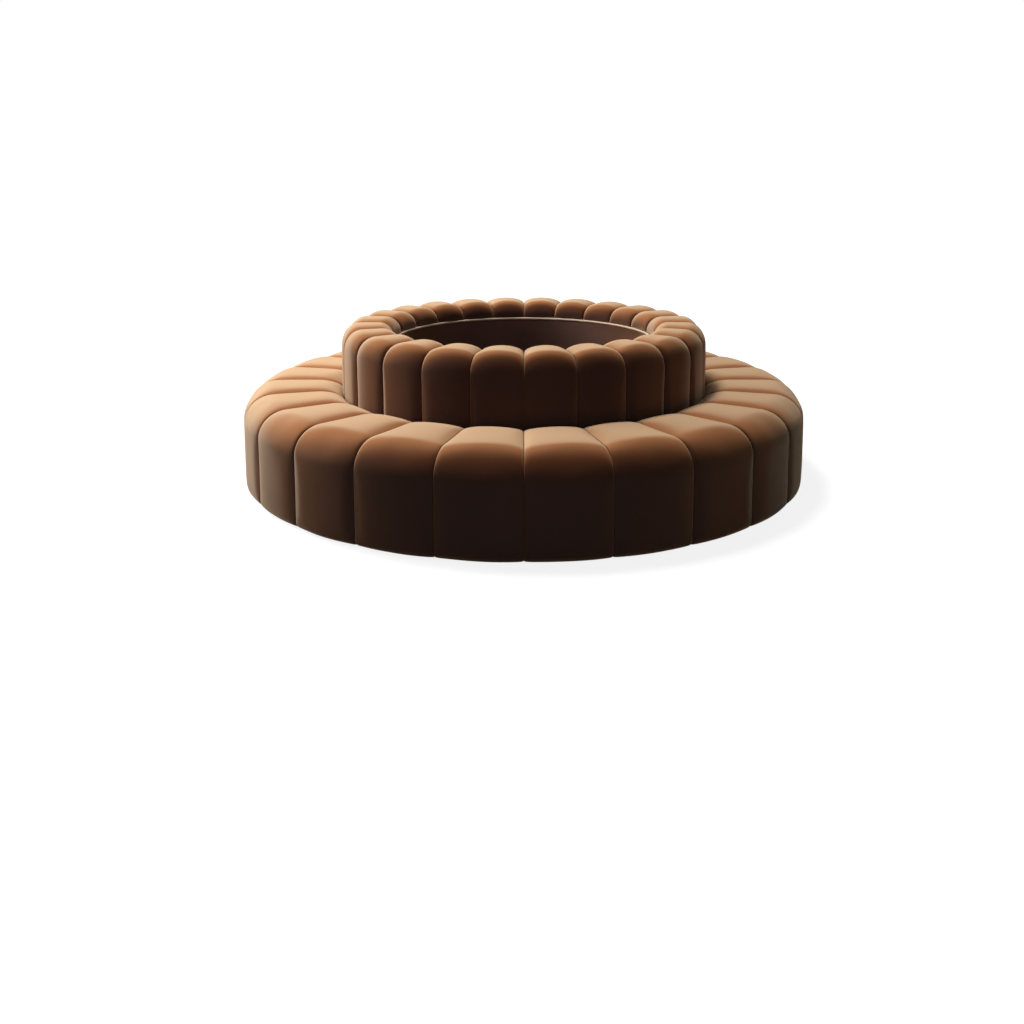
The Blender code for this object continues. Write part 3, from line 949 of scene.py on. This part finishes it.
def staplePlaces():
    places = []          # place on the base, and which way the crown lies
    for radius in (dustInner + staples["inset"], dustOuter - staples["inset"]):
        for along in stapleRow(radius * quarterTurn):
            turn = along / radius
            places.append((radius * math.cos(turn), radius * math.sin(turn), turn + math.pi / 2))
    for along in stapleRow(dustOuter - dustInner - 4 * staples["inset"]):
        radius = dustInner + 2 * staples["inset"] + along
        places += [(radius, staples["inset"], 0.0), (staples["inset"], radius, math.pi / 2)]
    return places


glides = [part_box(f"rear_right_{glide}") for glide in ("outer_glide_a", "outer_glide_b", "inner_glide")]
gripped = [tuple((low + high) / 2)[:2] for low, high in glides]
dustPart = dustSheet("dust_sheet", gripped)
oneStaple = staplePart()
row = []
for x, y, turn in staplePlaces():
    piece = turnedCopy(oneStaple, "staple_copy", turn)
    piece.data.transform(Matrix.Translation((x, y, hemUnderside - staples["crown"][2] / 2)))
    row.append(piece)
stapleSet = joined(row, "staples")
smooth(stapleSet, degrees=40)
for index, quarter in enumerate(quarters):
    cover = turnedCopy(dustPart, f"{quarter}_dust_sheet", quarterTurn * index)
    dress(cover, dustCloth)
    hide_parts(f"{quarter}_dust_cover")
    tacks = turnedCopy(stapleSet, f"{quarter}_staples", quarterTurn * index)
    dress(tacks, zincSteel)
for part in (dustPart, oneStaple, stapleSet):
    bpy.data.objects.remove(part)
print("scene: dust covers made,", len(row), "staples in each quarter")


# Finishes of the pieces that keep their shape

keptParts = {
    "frame": framePlywood,
    "seat_deck": boardPlywood,
    "top_rail": boardPlywood,
    "seat_front_board": bentPlywood,
    "back_board": bentPlywood,
    "well_board": bentPlywood,
    "outer_glide_a": glidePlastic,
    "outer_glide_b": glidePlastic,
    "inner_glide": glidePlastic,
}
keptNodes = {f"{quarter}_{part}": finish for quarter in quarters for part, finish in keptParts.items()}
for side in ("front", "right", "rear", "left"):
    for height in ("seat", "back"):
        keptNodes[f"{side}_{height}_bolt"] = zincSteel
for name, finish in keptNodes.items():
    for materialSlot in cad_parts[name].material_slots:
        materialSlot.material = finish
print("scene:", len(keptNodes), "frame pieces finished")


# Stage, light and camera

photoView = {
    "picture": 1024,         # pixels along the picture's side
    "focal": 1093.0,         # the rest of the pixel sizes are of that picture
    "middle": (523.75, 298.0),
    "distance": 4.9115,
    "height": 1.4567,
    "pitch": 0.1379,
}

camera = bpy.data.objects.new("camera", bpy.data.cameras.new("camera"))
bpy.context.scene.collection.objects.link(camera)
camera.data.sensor_width = 36
camera.data.lens = 36 * photoView["focal"] / photoView["picture"]
camera.data.shift_x = 0.5 - photoView["middle"][0] / photoView["picture"]
camera.data.shift_y = photoView["middle"][1] / photoView["picture"] - 0.5
camera.location = (0, -photoView["distance"], photoView["height"])
camera.rotation_euler = (math.pi / 2 - photoView["pitch"], 0, 0)
bpy.context.scene.camera = camera


def addLamp(name, place, aim, size, power, colour):
    lamp = bpy.data.objects.new(name, bpy.data.lights.new(name, "AREA"))
    lamp.data.shape = "RECTANGLE"
    lamp.data.size, lamp.data.size_y = size
    lamp.data.energy = power
    lamp.data.color = colour
    lamp.location = place
    lamp.rotation_euler = (Vector(aim) - Vector(place)).to_track_quat("-Z", "Y").to_euler()
    bpy.context.scene.collection.objects.link(lamp)


# Place, what it aims at, size, watts and colour
lamps = {
    "top_panel": ((-1.6, 1.6, 8.0), (-0.2, 0.0, 0.3), (3.0, 2.2), 565, (1.0, 1.0, 1.0)),
    "left_panel": ((-3.7, 0.5, 2.0), (-0.8, 0.0, 0.3), (1.6, 1.6), 110, (0.94, 0.97, 1.0)),
    "front_fill": ((-0.2, -7.0, 1.8), (0.0, 0.0, 0.3), (3.0, 2.0), 38, (0.66, 0.88, 1.0)),
    "rear_fill": ((4.2, 6.2, 2.2), (0.0, 0.0, 0.3), (3.0, 2.0), 45, (1.0, 1.0, 1.0)),
}
for name, values in lamps.items():
    addLamp(name, *values)


stage = {
    "worldLight": 0.012,     # what the world gives the sofa; it is seen as plain white
    "floorSize": 60,
    "floorBounce": 0.10,     # how pale the floor is to the sofa
    "floorShade": 0.30,      # how much of its brightness comes from the lamps, and so holds the shadow
    "glowRadii": (1.8, 4.5),
    "glow": (0.86, 1.0),     # the lamps reach less of the floor further out
}


def seenDirectly(tree):
    path = tree.nodes.new("ShaderNodeLightPath")
    seen = calc(tree, "MAXIMUM", path.outputs["Is Camera Ray"], path.outputs["Is Glossy Ray"])
    return calc(tree, "MAXIMUM", seen, path.outputs["Is Transmission Ray"])


world = bpy.data.worlds.new("studio")
bpy.context.scene.world = world
world.use_nodes = True
background = world.node_tree.nodes["Background"]
background.inputs["Color"].default_value = (1, 1, 1, 1)
light = ranged(world.node_tree, seenDirectly(world.node_tree), 0, 1, stage["worldLight"], 1.0)
feed(world.node_tree, background.inputs["Strength"], light)

deselectAll()
bpy.ops.mesh.primitive_plane_add(size=stage["floorSize"], location=(0, 0, 0))
floor = bpy.context.object
floor.name = "floor"
floorMaterial = bpy.data.materials.new("pale_floor")
floorMaterial.use_nodes = True
tree = floorMaterial.node_tree
tree.nodes.remove(tree.nodes["Principled BSDF"])
dim, pale = (tree.nodes.new("ShaderNodeBsdfDiffuse") for _ in range(2))
dim.inputs["Color"].default_value = (*[stage["floorBounce"]] * 3, 1)
pale.inputs["Color"].default_value = (*[stage["floorShade"]] * 3, 1)
reach = tree.nodes.new("ShaderNodeVectorMath")
reach.operation = "LENGTH"
tree.links.new(onPiece(tree), reach.inputs[0])
glow = tree.nodes.new("ShaderNodeEmission")
brightness = ranged(tree, reach.outputs["Value"], *stage["glowRadii"], *stage["glow"])
feed(tree, glow.inputs["Strength"], brightness)
both = tree.nodes.new("ShaderNodeAddShader")
tree.links.new(pale.outputs["BSDF"], both.inputs[0])
tree.links.new(glow.outputs["Emission"], both.inputs[1])
pick = tree.nodes.new("ShaderNodeMixShader")
tree.links.new(seenDirectly(tree), pick.inputs["Fac"])
tree.links.new(dim.outputs["BSDF"], pick.inputs[1])
tree.links.new(both.outputs["Shader"], pick.inputs[2])
tree.links.new(pick.outputs["Shader"], tree.nodes["Material Output"].inputs["Surface"])
floor.data.materials.append(floorMaterial)

bpy.context.scene.view_settings.view_transform = "Standard"
print("scene: stage, light and camera set")
